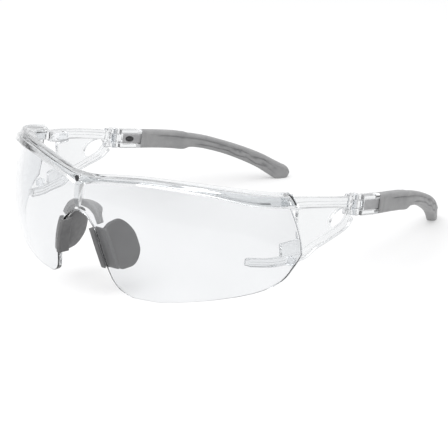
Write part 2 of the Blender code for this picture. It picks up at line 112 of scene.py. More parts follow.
# (distance back, height of the middle, depth)
TOP_BAR = [(40.2, 40.0, 5.0), (47, 39.3, 4.4), (56, 37.7, 4.2), (68, 35.2, 4.2), (75.2, 33.5, 4.2)]
LOWER_BAR = [(75.2, 27.6, 3.6), (72, 25.0, 3.0), (62.5, 22.6, 2.8), (54, 20.6, 2.8), (46, 17.6, 3.6),
             (35, 17.4, 3.2), (23.4, 19.1, 3.2)]
TAB_LINE = [(37.0, 20.9, 7.0), (46.0, 21.2, 7.4)]

# Hinge: its pin is square to the temple, which slopes down to the ear
ARM_SLOPE = math.radians(10.5)
HINGE_PLACE = (69.7, 79.0, 31.5)
KNUCKLE_RADIUS = 2.5
LUG_HALF = 1.7
EAR_OUTER = 4.2
PIN_RADIUS = 1.0
PIN_END = EAR_OUTER + 0.15
PIN_PLAY = 0.06

# Temple: (distance back, height of the middle, half depth)
ARM_START_Y = 82.1
ARM_END_WALL = 0.9  # in front of the slot
SLEEVE_START_Y = 94.0
ARM_WALL = 4.0
ARM_HALF_DEPTH = 4.2
TONGUE_HALF_DEPTH = 2.1
TONGUE_HALF_WIDTH = 1.5
PEG_Y = (ARM_START_Y + SLEEVE_START_Y) / 2 - 0.6
PEG_HALF = (2.3, 1.15)
PEG_HOLE_GAP = 0.2
CORE_END_Y = 116.0
SLEEVE_LINE = [(94, 28.3, 4.15), (105, 26.4, 4.1), (113, 24.8, 4.1), (118, 23.6, 4.05), (121.5, 23.2, 3.2),
               (127, 21.9, 3.0), (137, 18.3, 2.9), (147, 13.8, 3.1), (156, 8.8, 3.4), (160, 5.9, 3.6),
               (164.5, 2.6, 3.9)]
SLEEVE_HALF_WIDTH = 2.6
SLEEVE_SIDES = 88
SLEEVE_CORNER = 0.5  # power of a superellipse: 1 is round, and less is squarer
TONGUE_CORNER = 0.3
SLEEVE_TIP_RADIUS = 3.9
SLEEVE_TIP_SLOPE = 0.15
GROOVE_HALF = 0.075  # half the breadth of a moulded line, as a share of the half depth
GROOVE_DEPTH = 0.38
BAND_STEP = 0.28  # how far the faces lie below the top band
FRONT_RING_DEPTH = 0.22

# Nose pieces
PAD_TOP_Z = 27.0
PAD_BOTTOM_Z = 11.6
PAD_EDGE = [(11.4, 14.0), (19.2, 11.8), (26.2, 9.2), (27.2, 8.6)]
FLANGE_REACH = 0.4  # over the lens's outer face
FLANGE_FRONT = 0.9
CHANNEL_SIDE = (0.4, 1.8)  # from the lens's edge to the channel's floor and to its outer side
LEG_REACH = 4.8  # over the lens's inner face
LEG_WALL = 1.6
WING_WALL = 2.0
WING_CENTRE = (12.4, -5, 19)
WING_SPLAY = 0.17  # how far it goes outwards for each unit back
WING_LEAN = 0.34  # how far it goes outwards for each unit down
WING_BOW = 0.35
WING_OUTLINE = [(-2.6, 26.2), (1.0, 28.3), (5.0, 29.0), (9.0, 26.6), (11.6, 21.6), (12.0, 17.0), (10.0, 12.8),
                (6.5, 10.6), (2.4, 10.3), (0.4, 11.4), (-1.6, 17), (-2.6, 22)]
SADDLE_LINE = [(-10.4, 28.7), (-9.7, 30.1), (-7.4, 33.1), (-3.5, 34.9), (0, 35.2), (3.5, 34.9), (7.4, 33.1),
               (9.7, 30.1), (10.4, 28.7)]
SADDLE_LIP = [(0, 5.6), (6.5, 5.6), (9.4, 3.2), (11, 2.9)]  # (distance across, how far the lip runs back)

# Camera, in the frame's metres
CAMERA_PLACE = Vector((0.52142, -0.56150, 0.25895))
CAMERA_TARGET = Vector((0.01145, -0.01500, 0.01272))
CAMERA_ROLL = math.radians(0.57)
CAMERA_LENS = 151.09

# Light, where 1 is white in the render
FLOOR_GLOW = 0.35
# (half of one more than the height of the direction, radiance) of the sky
SKY = [(0.0, 0.95), (0.5, 0.62), (0.57, 0.52), (0.70, 0.80), (1.0, 1.10)]
FLOOR_HALF = 6.0
FLOOR_DROP = 0.0002  # keeps the floor off the faces that stand on it


# Curves

def smooth_line(points, at):
    """Values of a curve through points, at each place given. Between two points it is a cubic whose end
    slopes are the harmonic means of the slopes on both sides, and nought at a turning point, so it never
    overshoots."""
    data = np.array(points, float)
    order = np.sign(data[-1, 0] - data[0, 0])
    x = data[:, 0] * order
    at = np.clip(np.asarray(at, float) * order, x[0], x[-1])
    step = np.diff(x)[:, None]
    slope = np.diff(data[:, 1:], axis=0) / step
    left, right = slope[:-1], slope[1:]
    same_way = left * right > 0
    inner = np.where(same_way, 2 * left * right / np.where(same_way, left + right, 1), 0)
    tangent = np.concatenate([slope[:1], inner, slope[-1:]])
    i = np.clip(np.searchsorted(x, at, side="right") - 1, 0, len(step) - 1)
    t = (at[..., None] - x[i][..., None]) / step[i]
    low, high = data[:, 1:][i], data[:, 1:][i + 1]
    cubic = low * (1 + 2 * t) * (1 - t) ** 2 + high * t**2 * (3 - 2 * t)
    cubic += step[i] * t * (1 - t) * (tangent[i] * (1 - t) - tangent[i + 1] * t)
    return np.moveaxis(cubic, -1, 0)


def spread(points, count):
    """Points evenly spaced by distance along a smooth curve through a list of points."""
    data = np.array(points, float)
    knots = np.concatenate([[0], np.cumsum(np.hypot(*np.diff(data, axis=0).T[:2]))])
    return smooth_line(np.column_stack([knots, data]), np.linspace(0, knots[-1], count)).T


def rounded(corners, radius, steps=5):
    """Closed profiles with their corners rounded. Each corner c becomes c + r (1 - t)^2 p + r t^2 n,
    where p and n are unit vectors to the corners before and after it and t runs from 0 to 1. r never
    passes 0.45 of an edge."""
    corners = np.asarray(corners, float)
    before = np.roll(corners, 1, axis=-2) - corners
    after = np.roll(corners, -1, axis=-2) - corners
    long_before = np.linalg.norm(before, axis=-1, keepdims=True)
    long_after = np.linalg.norm(after, axis=-1, keepdims=True)
    reach = np.minimum(radius, 0.45 * np.minimum(long_before, long_after))[..., None, :]
    t = np.linspace(0, 1, steps)[:, None]
    before = (before / long_before)[..., None, :]
    after = (after / long_after)[..., None, :]
    points = corners[..., None, :] + reach * (before * (1 - t) ** 2 + after * t**2)
    return points.reshape(*corners.shape[:-2], -1, corners.shape[-1])


def lens_point(s, z, out=0.0):
    """A point s along the lens from its middle at height z, out in front of its outer face. In plan the
    face turns by s / R, with a smaller R past the corner; (z - z0)^2 / 2R tucks it in above and below its
    bulge."""
    s, z, out = np.broadcast_arrays(*(np.asarray(value, float) for value in (s, z, out)))
    distance = np.abs(s)
    corner_turn = math.asin(CORNER_X / FRONT_RADIUS)
    past = np.maximum(distance - FRONT_RADIUS * corner_turn, 0)
    turn = (distance - past) / FRONT_RADIUS + past / CORNER_RADIUS
    front_turn = np.minimum(turn, corner_turn)
    across = FRONT_RADIUS * np.sin(front_turn) + CORNER_RADIUS * (np.sin(turn) - np.sin(front_turn))
    back = FRONT_RADIUS * (1 - np.cos(front_turn)) + CORNER_RADIUS * (np.cos(front_turn) - np.cos(turn))
    inward = (z - LENS_BULGE_Z) ** 2 / (2 * LENS_UPRIGHT_RADIUS) - out
    x = np.sign(s) * (across - np.sin(turn) * inward)
    y = LENS_Y + back + np.cos(turn) * inward - LENS_LEAN * (z - LENS_BULGE_Z)
    return np.stack([x, y, z], axis=-1)


def side_x(y):
    """How far out the side of the glasses stands: the smooth curve through SIDE_LINE."""
    return smooth_line(SIDE_LINE, y)[0]


def brow_top(s):
    """Height of the brow bar's top, the same on both sides of the middle."""
    return smooth_line(BROW_TOP, np.abs(s))[0]


def brow_low(s):
    """Height of the brow bar's lower edge, the same on both sides of the middle."""
    return smooth_line(BROW_LOW, np.abs(s))[0]


def arm_height(y):
    """Height of the temple arm's middle: a straight line at ARM_SLOPE that ends where the sleeve starts."""
    return SLEEVE_LINE[0][1] - (np.asarray(y, float) - SLEEVE_START_Y) * math.tan(ARM_SLOPE)


# Meshes

def place(points):
    """Drawing millimetres to the frame's metres."""
    return (np.asarray(points, float) + (0, DRAWING_Y, 0)) * MM


def smooth_shading(mesh, sharp):
    mesh.shade_smooth()
    mesh.set_sharp_from_angle(angle=math.radians(sharp))


def body(name, points, faces, sharp=35):
    """An object with the given closed mesh, its faces turned outwards."""
    mesh = bpy.data.meshes.new(name)
    mesh.from_pydata(place(points).tolist(), [], faces)
    work = bmesh.new()
    work.from_mesh(mesh)
    bmesh.ops.recalc_face_normals(work, faces=work.faces)
    work.to_mesh(mesh)
    work.free()
    smooth_shading(mesh, sharp)
    made = bpy.data.objects.new(name, mesh)
    bpy.context.scene.collection.objects.link(made)
    return made


def skin(name, rings, sharp=35, ring_round=False):
    """A closed skin over a stack of closed rings. Quad (i, j) joins points j and j + 1 of rings i and
    i + 1. The last ring joins the first where ring_round is true, and otherwise a flat face closes each
    end."""
    rings = np.asarray(rings, float)
    corner = np.arange(rings.shape[0] * rings.shape[1]).reshape(rings.shape[:2])
    near, far = (corner, np.roll(corner, -1, 0)) if ring_round else (corner[:-1], corner[1:])
    quads = np.stack([near, np.roll(near, -1, 1), np.roll(far, -1, 1), far], -1).reshape(-1, 4).tolist()
    caps = [] if ring_round else [corner[0].tolist(), corner[-1].tolist()]
    return body(name, rings.reshape(-1, 3), quads + caps, sharp)


def settle(piece, sharp=None):
    """Makes the piece's modifiers part of its mesh."""
    graph = bpy.context.evaluated_depsgraph_get()
    finished = bpy.data.meshes.new_from_object(piece.evaluated_get(graph))
    piece.modifiers.clear()
    piece.data = finished
    if sharp:
        smooth_shading(finished, sharp)
    return piece


def shaped(piece, *steps, sharp=30):
    """Adds and cuts other bodies in turn, each given as (operation, body), and removes them."""
    for operation, other in steps:
        modifier = piece.modifiers.new(operation.lower(), "BOOLEAN")
        modifier.operation = operation
        modifier.object = other
    settle(piece, sharp)
    for _, other in steps:
        bpy.data.objects.remove(other, do_unlink=True)
    return piece


def other_side(piece, name):
    """The same piece for the wearer's right: x changes sign, and the faces are turned back outwards."""
    mesh = piece.data.copy()
    points = np.empty(len(mesh.vertices) * 3)
    mesh.vertices.foreach_get("co", points)
    mesh.vertices.foreach_set("co", (points.reshape(-1, 3) * (-1, 1, 1)).ravel())
    mesh.flip_normals()
    made = bpy.data.objects.new(name, mesh)
    bpy.context.scene.collection.objects.link(made)
    return made


def framed(points, matrix):
    """Points turned and moved by a matrix."""
    matrix = np.array(matrix)
    return points @ matrix[:3, :3].T + matrix[:3, 3]


def edge_insets(low, high, edge, steps=5):
    """(place, inset) pairs along an axis for a body whose two ends are rounded by quarter circles of
    radius edge."""
    turn = np.linspace(math.radians(8), math.pi / 2, steps)
    near = np.column_stack([low + edge * (1 - np.cos(turn)), edge * (1 - np.sin(turn))])
    far = np.column_stack([high - edge * (1 - np.cos(turn)), edge * (1 - np.sin(turn))])
    return np.vstack([near, far[::-1]])


def drum(name, radius, low, high, matrix, edge=0.15, sides=64):
    """A round bar along the matrix's own Z: circles whose radius drops by a quarter circle at each end."""
    turn = np.linspace(0, 2 * math.pi, sides, endpoint=False)
    circle = np.column_stack([np.cos(turn), np.sin(turn), 0 * turn])
    rings = [circle * (radius - inset) + (0, 0, z) for z, inset in edge_insets(low, high, edge)]
    return skin(name, framed(np.array(rings), matrix))


def block(name, low, high, matrix=None, edge=0.3):
    """A box with every edge rounded: rings of four quarter circles, drawn in by a quarter circle at each
    end."""
    low, high = np.array(low, float), np.array(high, float)
    middle, half = (low + high) / 2, (high - low) / 2 - edge
    quarter = np.linspace(0, math.pi / 2, 6)
    turn = (quarter + np.arange(4)[:, None] * math.pi / 2).ravel()
    centre = np.repeat([(1, 1), (-1, 1), (-1, -1), (1, -1)], len(quarter), axis=0) * half[:2]
    rings = []
    for z, inset in edge_insets(low[2], high[2], edge):
        across = centre + (edge - inset) * np.column_stack([np.cos(turn), np.sin(turn)])
        rings.append(np.column_stack([across + middle[:2], np.full(len(across), z)]))
    rings = np.array(rings)
    return skin(name, rings if matrix is None else framed(rings, matrix))


def hinge_matrix():
    """Its own Z is the pin's axis and its own Y runs back along the temple."""
    return Matrix.Translation(Vector(HINGE_PLACE)) @ Matrix.Rotation(-ARM_SLOPE, 4, "X")


def bar(name, line, wall, groove=0.0, stations=70, end=0.9, edge=0.6):
    """A bar that follows the side of the glasses, through (distance back, height, depth). Its section is
    a box with round edges and, where groove isn't nought, a shallow channel of that depth along its outer
    face. Both ends are drawn in by a quarter circle."""
    path = spread(line, stations)
    along = np.gradient(path[:, :2], axis=0)
    along /= np.linalg.norm(along, axis=1)[:, None]
    travelled = np.concatenate([[0], np.cumsum(np.linalg.norm(np.diff(path[:, :2], axis=0), axis=1))])
    from_end = np.clip(np.minimum(travelled, travelled[-1] - travelled) / end, 0, 1)
    drawn_in = 0.25 * end * (1 - np.sqrt(1 - (1 - from_end) ** 2))
    half_width = (wall / 2 - drawn_in)[:, None]
    half_depth = (path[:, 2] / 2 - drawn_in)[:, None]
    ones = np.ones_like(half_depth)
    lip, floor = 0.34 * half_depth, 0.24 * half_depth
    across = [half_width, half_width, half_width - groove, half_width - groove, half_width, half_width,
              -half_width, -half_width]
    up = [half_depth, lip, floor, -floor, -lip, -half_depth, -half_depth, half_depth]
    if not groove:
        across = [half_width, half_width, -half_width, -half_width]
        up = [half_depth, -half_depth, -half_depth, half_depth]
    corners = np.stack([np.hstack(across) * ones, np.hstack(up)], axis=-1)
    section = rounded(corners, edge)
    y = path[:, :1] - section[..., 1] * along[:, 1:] * np.sign(along[:, :1])
    z = path[:, 1:2] + section[..., 1] * np.abs(along[:, :1])
    return skin(name, np.stack([side_x(y) + section[..., 0], y, z], axis=-1))


# Lens and brow bar

def lens():
    """A curved sheet in one closed skin. Each ring goes up the outer face, over the top edge, down the
    inner face and round the lower edge; both edges are half superellipses across the wall."""
    lower = spread(LENS_LOWER, 150)
    lower[(lower[:, 0] > LENS_REST[0]) & (lower[:, 0] < LENS_REST[1]), 1] = 0
    low = np.vstack([lower, spread(LENS_OUTER, 22)[1:]])
    top_s = LENS_END_S * np.linspace(0, 1, len(low)) ** 0.93
    high = np.column_stack([top_s, brow_top(top_s) - BROW_ROOF - GAP])
    low, high = (np.vstack([half[:0:-1] * (-1, 1), half]) for half in (low, high))
    tangent = np.gradient(low, axis=0)
    tangent /= np.linalg.norm(tangent, axis=1)[:, None]
    inward = np.column_stack([-tangent[:, 1], tangent[:, 0]])
    turn = np.linspace(0, math.pi, 13)[1:-1]
    bulge = np.sin(turn) ** LENS_EDGE_POWER
    depth = -LENS_WALL / 2 * (1 - np.sign(np.cos(turn)) * np.abs(np.cos(turn)) ** LENS_EDGE_POWER)
    start, stop = low + inward * LENS_EDGE, high - (0, LENS_EDGE)
    up = np.linspace(0, 1, 26)[None, :, None]
    sheet = start[:, None] * (1 - up) + stop[:, None] * up
    top_edge = stop[:, None] + np.array([0, LENS_EDGE]) * bulge[None, :, None]
    low_edge = start[:, None] - inward[:, None] * LENS_EDGE * bulge[None, ::-1, None]
    rings = np.concatenate([sheet, top_edge, sheet[:, ::-1], low_edge], axis=1)
    face = np.zeros(up.shape[1])
    out = np.concatenate([face, depth, face - LENS_WALL, depth[::-1]])
    points = lens_point(rings[..., 0], rings[..., 1], out[None, :])
    points[..., 2] = np.maximum(points[..., 2], 0)
    return skin("clear_lens", points, sharp=50)


def stud_matrix():
    """Square to the brow bar's front face over the bridge; its own Z points forwards."""
    lean = math.atan((STUD_Z - LENS_BULGE_Z) / LENS_UPRIGHT_RADIUS - LENS_LEAN)
    centre = lens_point(0, STUD_Z)
    return Matrix.Translation(Vector(centre)) @ Matrix.Rotation(math.pi / 2 - lean, 4, "X")


def brow_bar():
    """The bar's section, a hook over the lens's top edge whose top slopes back, carried along the lens.
    Its front face has a step that fades out at the bridge and at the ends. A tapered rib runs down over
    the bridge, and the stud has a hole in a shallow round seat."""
    s = np.concatenate([
        -np.linspace(BROW_END_S, 2, 110),
        np.linspace(-1.6, 1.6, 9),
        np.linspace(2, BROW_END_S, 110),
    ])
    top, low = brow_top(s), brow_low(s)
    step = BROW_STEP * np.clip((np.abs(s) - 7) / 10, 0, 1) * np.clip((BROW_END_S - np.abs(s)) / 8, 0, 1)
    middle = low + BROW_STEP_SHARE * (top - low)
    front, back, inside = BROW_FRONT + 0 * s, BROW_BACK + 0 * s, -LENS_WALL - GAP + 0 * s
    groove = top - BROW_ROOF
    outs = [front, front, front - step, front - step - 0.35, front - 1.4, back + 0.9,
            back, back, inside, inside, GAP + 0 * s, GAP + 0 * s]
    top_back, low_back = top - BROW_SLOPE_DROP, low - BROW_BACK_LIP
    heights = [low, middle - 0.3, middle + 0.3, top - 0.9, top, top_back,
               top_back - 0.7, low_back, low_back, groove, groove, low]
    corners = np.stack([np.column_stack(outs), np.column_stack(heights)], axis=-1)
    section = rounded(corners, 0.45)
    bar_body = skin("clear_brow_bar", lens_point(s[:, None], section[..., 1], section[..., 0]))
    z = np.linspace(RIB_LOW, RIB_HIGH, 40)
    half = RIB_HALF - 0.9 * np.clip((RIB_LOW + 4 - z) / 5, 0, 1) ** 2
    rib_out = 1.1 + 0.12 * (z - RIB_LOW) - 0.7 * np.clip((RIB_LOW + 2.5 - z) / 2.5, 0, 1) ** 2
    flat, rise = [half, -half, -0.6 * half, 0.6 * half], [GAP + 0 * z, GAP + 0 * z, rib_out, rib_out]
    rib_section = rounded(np.stack([np.column_stack(flat), np.column_stack(rise)], axis=-1), 0.3)
    rib = skin("rib", lens_point(rib_section[..., 0], z[:, None], rib_section[..., 1]))
    hole = drum("stud_hole", STUD_RADIUS + 0.2, -GAP, BROW_FRONT + 2, stud_matrix(), 0.05)
    seat = drum("stud_seat", SEAT_RADIUS, BROW_FRONT - SEAT_DEPTH, BROW_FRONT + 2, stud_matrix(), 0.1)
    return shaped(bar_body, ("UNION", rib), ("DIFFERENCE", seat), ("DIFFERENCE", hole))


def centre_stud():
    """A round bar that stands on the lens and ends level with its seat."""
    return drum("dark_centre_stud", STUD_RADIUS, GAP, BROW_FRONT - SEAT_DEPTH, stud_matrix(), 0.3)


# Side shields

def shield_panel():
    """The thin wall round the vent hole, in one ring-shaped skin. For each point of the outline the
    wall's section runs straight in to the hole, where a lip stands proud on both faces."""
    outline = spread(PANEL_OUTLINE + PANEL_OUTLINE[:1], 241)[:-1]
    seen = outline - HOLE_CENTRE
    turned = np.column_stack([
        seen[:, 0] * math.cos(HOLE_TILT) + seen[:, 1] * math.sin(HOLE_TILT),
        seen[:, 1] * math.cos(HOLE_TILT) - seen[:, 0] * math.sin(HOLE_TILT),
    ])
    angle = np.arctan2(turned[:, 1] / HOLE_HALF[1], turned[:, 0] / HOLE_HALF[0])
    across, up = HOLE_HALF[0] * np.cos(angle), HOLE_HALF[1] * np.sin(angle)
    hole = HOLE_CENTRE + np.column_stack([
        across * math.cos(HOLE_TILT) - up * math.sin(HOLE_TILT),
        across * math.sin(HOLE_TILT) + up * math.cos(HOLE_TILT),
    ])
    span = np.linalg.norm(outline - hole, axis=1)
    direction = (outline - hole) / span[:, None]
    slope, wall = 0.3, PANEL_WALL / 2
    thick = wall + HOLE_LIP_RISE
    ones = np.ones_like(span)
    distances = [0 * ones, HOLE_LIP * ones, (HOLE_LIP + slope) * ones, span]
    reach = np.column_stack(distances + distances[::-1])
    offsets = np.column_stack([thick * ones, thick * ones, wall * ones, wall * ones])
    offsets = np.hstack([offsets, -offsets[:, ::-1]])
    section = rounded(np.stack([reach, offsets], axis=-1), 0.3)
    flat = hole[:, None] + direction[:, None] * section[..., :1]
    rings = np.dstack([side_x(flat[..., 0]) + section[..., 1], flat])
    return skin("clear_side_shield_left", rings, ring_round=True)


def side_shield():
    """The wall with its two bars and the tab. A web at its back end carries two ears, which are short
    drums on the hinge's axis, each with a block that roots it in the web and one hole through both."""
    matrix = hinge_matrix()
    web_back = -KNUCKLE_RADIUS - 0.5
    web_high = EAR_OUTER - 0.1
    steps = [
        ("UNION", bar("top_bar", TOP_BAR, TOP_BAR_WALL, groove=0.45)),
        ("UNION", bar("lower_bar", LOWER_BAR, LOWER_BAR_WALL, groove=0.35, stations=110)),
        ("UNION", bar("tab", TAB_LINE, TAB_WALL, stations=20, end=0.4, edge=0.35)),
        ("UNION", block("web", (-1.8, web_back - 1.6, -web_high), (1.8, web_back, web_high), matrix)),
    ]
    for low, high in ((LUG_HALF + GAP, EAR_OUTER), (-EAR_OUTER, -LUG_HALF - GAP)):
        root = block("root", (-1.9, web_back - 0.5, low + 0.2), (1.9, 0, high - 0.2), matrix, 0.2)
        steps += [("UNION", drum("ear", KNUCKLE_RADIUS, low, high, matrix)), ("UNION", root)]
    hole = drum("ear_hole", PIN_RADIUS + PIN_PLAY, -EAR_OUTER - 1, EAR_OUTER + 1, matrix)
    return shaped(shield_panel(), *steps, ("DIFFERENCE", hole))


def hinge_pin():
    """A round bar on the hinge's axis, a little longer than the ears."""
    return drum("steel_hinge_pin_left", PIN_RADIUS, -PIN_END, PIN_END, hinge_matrix(), 0.25)


def corner_clip():
    """A block with rounded edges on the inner side of the top bar, behind the brow bar's end."""
    return block("clear_corner_clip_left", *CORNER_CLIP, edge=CLIP_EDGE)


def lens_catch():
    """A block with rounded edges between the lens and the lower bar."""
    return block("clear_lens_catch_left", *LENS_CATCH, edge=CATCH_EDGE)


# Temples

def superellipse(sides, corner):
    """Points across and up, from -1 to 1: cosine and sine, each raised to the corner power."""
    turn = np.linspace(0, 2 * math.pi, sides, endpoint=False) + math.pi / sides
    across = np.sign(np.cos(turn)) * np.abs(np.cos(turn)) ** corner
    up = np.sign(np.sin(turn)) * np.abs(np.sin(turn)) ** corner
    return across, up


def temple_rings(stations, half_width, sides=SLEEVE_SIDES, corner=SLEEVE_CORNER, relief=None):
    """Rings round the temple's middle line: superellipses times half the width and half the depth.
    Stations are (distance back, height, half depth, share of the width). relief(distance back, share of
    the height) draws the two faces in, in millimetres."""
    data = np.array(stations, float)
    centre = np.column_stack([side_x(data[:, 0]), data[:, 0], data[:, 1]])
    along = np.gradient(centre, axis=0)
    along /= np.linalg.norm(along, axis=1)[:, None]
    up = np.array([0, 0, 1]) - along * along[:, 2:]
    up /= np.linalg.norm(up, axis=1)[:, None]
    out = np.cross(along, up)
    across, height = superellipse(sides, corner)
    width = (half_width * data[:, 3])[:, None] * across[None, :]
    if relief:
        width -= np.sign(across) * np.abs(across) ** 2 * relief(data[:, :1], height[None, :])
    rings = centre[:, None] + out[:, None] * width[..., None]
    rings += up[:, None] * (data[:, 2][:, None] * height[None, :])[..., None]
    rings[..., 2] = np.maximum(rings[..., 2], 0)
    return rings


def zigzag(y, length):
    """A triangle wave between -1 and 1."""
    return 2 / math.pi * np.arcsin(np.sin(2 * math.pi * y / length))


def fade(value, start, stop):
    """0 before start, 1 after stop, and 3t^2 - 2t^3 between."""
    t = np.clip((value - start) / (stop - start), 0, 1)
    return t * t * (3 - 2 * t)


def sleeve_grooves(y, height):
    """How deep the moulded lines are, from 0 to 1. Each line is a bell across the sleeve's height, round
    a middle that drifts along the sleeve and zigzags more towards the tip."""
    restless = fade(y, 128, 150)
    upper = 0.42 - 0.10 * fade(y, 100, 150) + 0.10 * restless * zigzag(y, 11.0)
    middle = 0.05 + 0.10 * zigzag(y + 3, 34.0) + 0.20 * restless * zigzag(y + 2, 8.5)
    lower = -0.42 + 0.06 * zigzag(y, 26.0) + 0.14 * restless * zigzag(y + 5, 9.5)
    lines = [
        (upper, fade(y, 101, 107) * fade(-y, -163, -157)),
        (middle, fade(y, 104, 110) * fade(-y, -165, -159)),
        (lower, fade(y, 122, 128) * fade(-y, -164, -158)),
    ]
    return sum(np.exp(-(((height - centre) / GROOVE_HALF) ** 2)) * share for centre, share in lines)


def sleeve_relief(y, height):
    """The lower part of both faces lies a little lower than the top band, the lines are cut into them,
    and a shallow ring runs round the front end."""
    band = BAND_STEP * fade(-height, -0.62, -0.5) * fade(y, 97, 100)
    ring = FRONT_RING_DEPTH * np.exp(-(((y - SLEEVE_START_Y - 1.9) / 0.45) ** 2))
    return band + ring + GROOVE_DEPTH * sleeve_grooves(y, height)


def temple_sleeve():
    """The rubber sleeve: a skin from its tip, whose half depth follows a quarter circle, forward over the
    outside, and in again along the pocket that holds the core."""
    tip_y = SLEEVE_LINE[-1][0]
    y = np.linspace(SLEEVE_START_Y, tip_y, 230)
    mouth = 1 - 0.05 * np.exp(-(y - SLEEVE_START_Y) / 0.3)
    outside = np.column_stack([y, *smooth_line(SLEEVE_LINE, y), mouth])
    turn = np.radians(np.linspace(5, 87, 16))
    reach, share = SLEEVE_TIP_RADIUS * np.sin(turn), np.cos(turn)
    tip = np.column_stack([
        tip_y + reach,
        SLEEVE_LINE[-1][1] - reach * SLEEVE_TIP_SLOPE,
        SLEEVE_TIP_RADIUS * share,
        np.maximum(share, 0.35) ** 0.8,
    ])
    outer = temple_rings(np.vstack([outside, tip]), SLEEVE_HALF_WIDTH, relief=sleeve_relief)
    y = np.linspace(SLEEVE_START_Y + 0.02, CORE_END_Y + 1, 30)
    depth = TONGUE_HALF_DEPTH + GAP
    pocket = np.column_stack([y, smooth_line(SLEEVE_LINE, y)[0], np.full(len(y), depth), np.ones(len(y))])
    inner = temple_rings(pocket, TONGUE_HALF_WIDTH + GAP, corner=TONGUE_CORNER)
    sleeve = skin("rubber_sleeve_left", np.concatenate([outer[::-1], inner]), sharp=60)
    stations = np.vstack([outside, tip])[::-1, 0]
    _, height = superellipse(SLEEVE_SIDES, SLEEVE_CORNER)
    depth_share = sleeve_grooves(stations[:, None], height[None, :]).ravel()
    # the groove depths are kept so that the sleeve's material can paint shade into its moulded lines
    groove = np.concatenate([depth_share, np.zeros(len(inner) * SLEEVE_SIDES)])
    attribute = sleeve.data.attributes.new("groove", "FLOAT", "POINT")
    attribute.data.foreach_set("value", groove.astype(np.float32))
    return sleeve


def tongue(name, start, end, half_depth, half_width):
    """The flat bar inside the temple: straight down the arm's slope, then along the sleeve's middle."""
    y = np.linspace(start, end, 60)
    height = np.where(y < SLEEVE_START_Y, arm_height(y), smooth_line(SLEEVE_LINE, y)[0])
    stations = np.column_stack([y, height, half_depth + 0 * y, 1 + 0 * y])
    return skin(name, temple_rings(stations, half_width, 48, TONGUE_CORNER))


def oval(name, grow, rows):
    """An oval across the tongue, square to its inner face. Rows are (depth from the temple's middle,
    share)."""
    turn = np.linspace(0, 2 * math.pi, 64, endpoint=False)
    rings = []
    for depth, share in rows:
        back = (PEG_HALF[0] + grow) * share * np.cos(turn)
        up = (PEG_HALF[1] + grow) * share * np.sin(turn)
        x = np.full_like(turn, side_x(PEG_Y) - depth)
        rings.append(np.column_stack([x, PEG_Y + back, arm_height(PEG_Y) + up - back * math.tan(ARM_SLOPE)]))
    return skin(name, rings)


def temple_core():
    """The tongue with an oval hole for the lock peg in its inner face."""
    start = ARM_START_Y + ARM_END_WALL + GAP
    core = tongue("grey_temple_core_left", start, CORE_END_Y, TONGUE_HALF_DEPTH, TONGUE_HALF_WIDTH)
    return shaped(core, ("DIFFERENCE", oval("peg_hole", PEG_HOLE_GAP, [(0.2, 1), (3, 1)])))


def lock_peg():
    """An oval peg with a dished top."""
    side = [(0.4, 0.96), (0.5, 1), (1.5, 1), (1.62, 0.95)]
    dish = [(1.62, 0.86), (1.3, 0.72), (1.12, 0.5), (1.05, 0.2)]
    return oval("dark_lock_peg_left", 0, side + dish)


def temple_arm():
    """The clear front of the temple: a bar with round edges that slopes down, the hinge lug, and a fork
    for the tongue."""
    matrix = hinge_matrix()
    y = np.linspace(ARM_START_Y, SLEEVE_START_Y - GAP, 40)
    from_end = np.clip((y - ARM_START_Y) / 1.2, 0, 1)
    drawn_in = 0.8 * (1 - np.sqrt(1 - (1 - from_end) ** 2))
    w, h = ARM_WALL / 2 - 0.5 * drawn_in, ARM_HALF_DEPTH - drawn_in
    corners = np.stack([np.column_stack([w, w, -w, -w]), np.column_stack([h, -h, -h, h])], axis=-1)
    section = rounded(corners, 0.9, 7)
    back = y[:, None] + section[..., 1] * math.sin(ARM_SLOPE)
    across, up = side_x(y)[:, None] + section[..., 0], arm_height(y)[:, None] + section[..., 1]
    rings = np.stack([across, back, up], axis=-1)
    slot = tongue("slot", ARM_START_Y + ARM_END_WALL, SLEEVE_START_Y + 2, TONGUE_HALF_DEPTH + GAP, ARM_WALL)
    root_high = LUG_HALF - 0.1
    root_back = ARM_START_Y - HINGE_PLACE[1] + 1.2
    return shaped(
        skin("clear_temple_arm_left", rings),
        ("UNION", drum("lug", KNUCKLE_RADIUS, -LUG_HALF, LUG_HALF, matrix)),
        ("UNION", block("lug_root", (-1.6, 0, -root_high), (1.6, root_back, root_high), matrix, 0.2)),
        ("DIFFERENCE", drum("lug_hole", PIN_RADIUS + PIN_PLAY, -EAR_OUTER, EAR_OUTER, matrix)),
        ("DIFFERENCE", slot),
    )


# Nose pieces

def soft_body(name, parts, grain=0.22, passes=6):
    """One rubber body from several that overlap: remeshed into small cubes of one size, then relaxed, so
    that every edge and joint is a little round."""
    steps = [("UNION", part) for part in parts[1:]]
    piece = shaped(parts[0], *steps) if steps else parts[0]
    piece.name = name
    piece.data.name = name
    remesh = piece.modifiers.new("cubes", "REMESH")
    remesh.mode = "VOXEL"
    remesh.voxel_size = grain * MM
    relax = piece.modifiers.new("relax", "SMOOTH")
    relax.factor = 0.5
    relax.iterations = passes
    return settle(piece, 60)


